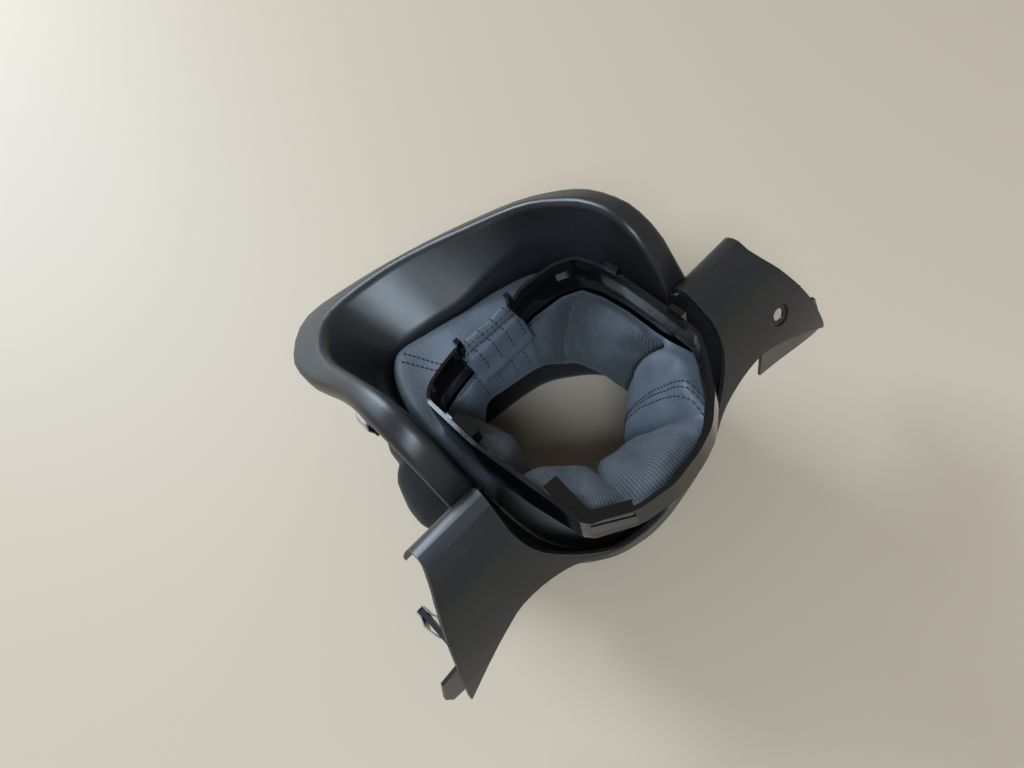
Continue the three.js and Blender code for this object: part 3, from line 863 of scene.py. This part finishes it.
def threadRing(mesh, path, distance, share, swell):
    # one ring of a thread's surface, arched a little off the sheet
    middle = path.at(distance)
    ahead = (path.at(distance + stitch["sight"]) - path.at(distance - stitch["sight"])).normalized()
    side = ahead.cross(Vector((0, 0, 1))).normalized()
    rise = side.cross(ahead)
    lift = rise * (stitch["sink"] + stitch["arch"] * math.sin(math.pi * share))
    ring = []
    for m in range(stitch["sides"]):
        turn = m * 2 * math.pi / stitch["sides"]
        around = (side * math.cos(turn) + rise * math.sin(turn)) * stitch["thick"] * swell
        ring.append(mesh.verts.new(place(*(middle + lift + around))))
    return ring


def sew(name, points):
    # one mesh of short rounded threads along a line of points
    mesh = bmesh.new()
    path = Path(points)
    sides = stitch["sides"]
    for n in range(max(1, int(path.lengths[-1] / stitch["every"]))):
        start = (n + stitch["first"]) * stitch["every"]
        rings = [threadRing(mesh, path, start + stitch["length"] * share, share, swell)
                 for share, swell in stitch["profile"]]
        for a, b in zip(rings, rings[1:]):
            for m in range(sides):
                mesh.faces.new((a[m], a[(m + 1) % sides], b[(m + 1) % sides], b[m])).smooth = True
        mesh.faces.new(list(reversed(rings[0])))
        mesh.faces.new(rings[-1])
    piece = addPiece(name, mesh, stitchFinish)
    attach(piece, "root")
    return piece


def seamPath(fromDegrees, toDegrees, fromT, toT, steps=24):
    lift = Vector((0.0, 0.0, sleeve["thickness"] * 0.5))
    return [onSleeve(lerp(fromDegrees, toDegrees, i / steps), lerp(fromT, toT, i / steps)) + lift
            for i in range(steps + 1)]


# Each seam's lines: from and to in degrees round the sleeve, then from and to down it
seams = {
    "seam_right": [
        (-33.0, -63.0, 0.75, 0.985), (-36.5, -66.5, 0.75, 0.985), (-42.0, -71.0, 0.75, 0.985)],
    "seam_left_a": [(112.0, 112.0, 0.74, 0.975)],
    "seam_left_b": [(100.0, 100.0, 0.74, 0.975)],
    "seam_left_c": [(88.0, 89.0, 0.74, 0.975)],
    "seam_left_d": [(77.0, 79.0, 0.74, 0.975)],
    "seam_skirt": [(106.0, 108.0, 0.03, 0.125), (109.0, 111.0, 0.03, 0.125)],
}
for seam, lines in seams.items():
    for n, line in enumerate(lines):
        sew(f"{seam}_{n + 1}", seamPath(*line))


def sheetPiece(name, grid, material, thickness):
    mesh = bmesh.new()
    uvLayer = mesh.loops.layers.uv.new("UVMap")
    rows = [[mesh.verts.new(place(*point)) for point in row] for row in grid]
    area = coverGrid(mesh, uvLayer, rows, lambda u, v: (u * drawing["unit"], v * drawing["unit"]))
    piece = addPiece(name, mesh, material, thickness)
    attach(piece, "root")
    return piece, area


print("stage: flap over the collar")
# The leather turned over the collar's low back edge: out from the collar's face, and height
flap = {
    "from": -26.0,
    "to": 14.0,
    "steps": 40,
    "sectionSteps": 44,
    "thickness": 1.2,
    "section": [
        (5.2, 116), (4.2, 127), (3.2, 134), (1.8, 138.0), (-0.6, 139.6), (-3.0, 138.6), (-4.5, 135.8),
        (-6.0, 137.0), (-8.4, 136.2), (-10.0, 132), (-11.2, 125), (-13.5, 117)],
    "rootZ": 117,
    "collarY": 75.6,
    "collarBend": 0.058,
    "crumple": {"size": 11.0, "out": 0.5, "up": 0.7},
    "ends": {"from": 17.0, "to": 20.0, "drop": 0.35},
    "seamsAt": (0.475, 0.56),
    "stitchesAt": (-20.0, -10.5, -1.0, 8.5),
}
flapLine = smoothSection(flap["section"], flap["sectionSteps"])


def collarBack(x):
    return flap["collarY"] + abs(x) * flap["collarBend"]


def flapPoint(x, share):
    line = flapLine[min(int(share * (len(flapLine) - 1)), len(flapLine) - 1)]
    crumple = flap["crumple"]
    uneven = noise.fractal(Vector((x, line.x * 2.0, line.y)) / crumple["size"], 1.0, 2.0, 3)
    fromMiddle = abs(x - (flap["from"] + flap["to"]) / 2)
    height = 1 - ease(fromMiddle, flap["ends"]["from"], flap["ends"]["to"]) * flap["ends"]["drop"]
    y = collarBack(x) + line.x + uneven * crumple["out"]
    return Vector((x, y, flap["rootZ"] + (line.y - flap["rootZ"]) * height + uneven * crumple["up"]))


def buildFlap():
    grid = []
    for n in range(flap["steps"] + 1):
        x = lerp(flap["from"], flap["to"], n / flap["steps"])
        grid.append([flapPoint(x, k / flap["sectionSteps"]) for k in range(flap["sectionSteps"] + 1)])
    return sheetPiece("gaiter_flap", grid, leatherFinish, flap["thickness"])


def flapSeam(share, steps=30):
    # along the flap's back edge
    lift = Vector((0, -0.3, 0.7))
    return [flapPoint(lerp(flap["from"] + 2, flap["to"] - 2, i / steps), share) + lift
            for i in range(steps + 1)]


def flapStitch(x, steps=40):
    # over the flap, from back to front
    lift = Vector((0, -0.35, 0.45))
    return [flapPoint(x + i * 0.05, lerp(0.12, 0.97, i / steps)) + lift for i in range(steps + 1)]


flapPiece, flapArea = buildFlap()
flapThreads = [sew(f"flap_seam_{n + 1}", flapSeam(share)) for n, share in enumerate(flap["seamsAt"])]
flapThreads += [sew(f"flap_stitch_{n + 1}", flapStitch(x)) for n, x in enumerate(flap["stitchesAt"])]
round(flapArea / 0.041, 4)

print("stage: webs behind the seams")
# A web closes the corner behind each seam, between the panel's roll, its wall and the surround's wall
web = {
    "wallLine": [(75.8, -1.6, 143.4), (74.4, 1.0, 125.0), (72.4, 5.0, 112.0), (69.4, 10.8, 95.6)],
    "seamLine": [(75.0, 12.3, 134.2), (71.8, 12.3, 122.0), (70.4, 12.3, 112.0), (68.8, 12.3, 95.6)],
    "rollCentre": 134.5,
    "rollInside": 9.25,
    "footZ": 95.6,
    "thickness": 1.8,
    "down": 14,
    "across": 10,
}


def buildWeb(side, name):
    wallLine = smoothLine(web["wallLine"], web["down"])
    seamLine = smoothLine(web["seamLine"], web["down"])
    grid = []
    for i in range(web["down"] + 1):
        row = []
        for k in range(web["across"] + 1):
            point = wallLine[i].lerp(seamLine[i], k / web["across"])
            reach = max(0.0, web["rollInside"] ** 2 - max(point.y, 0.0) ** 2) ** 0.5
            point.z = lerp(web["rollCentre"] + reach, web["footZ"], i / web["down"])
            point.x *= side
            row.append(point)
        grid.append(row if side > 0 else row[::-1])
    sheetPiece(name, grid, satinFinish, web["thickness"])


buildWeb(-1, "seam_web_left")
buildWeb(1, "seam_web_right")

# A lip from the surround laps under the roll and closes the seam from below
lap = {
    "from": 71.6,
    "to": 87.0,
    "steps": 8,
    "sectionSteps": 20,
    "thickness": 1.4,
    "section": [(5.0, 141.6), (8.0, 138.2), (8.9, 134.4), (10.4, 131.8), (13.4, 131.0), (16.0, 131.4)],
}


def buildLap(side, name):
    section = smoothSection(lap["section"], lap["sectionSteps"])
    grid = []
    for i in range(lap["steps"] + 1):
        x = side * lerp(lap["from"], lap["to"], i / lap["steps"])
        row = [Vector((x, point.x, point.y)) for point in section]
        grid.append(row if side < 0 else row[::-1])
    sheetPiece(name, grid, satinFinish, lap["thickness"])


buildLap(-1, "seam_lap_left")
buildLap(1, "seam_lap_right")

round(sleeveArea / 0.47, 4)

print("stage: finish")
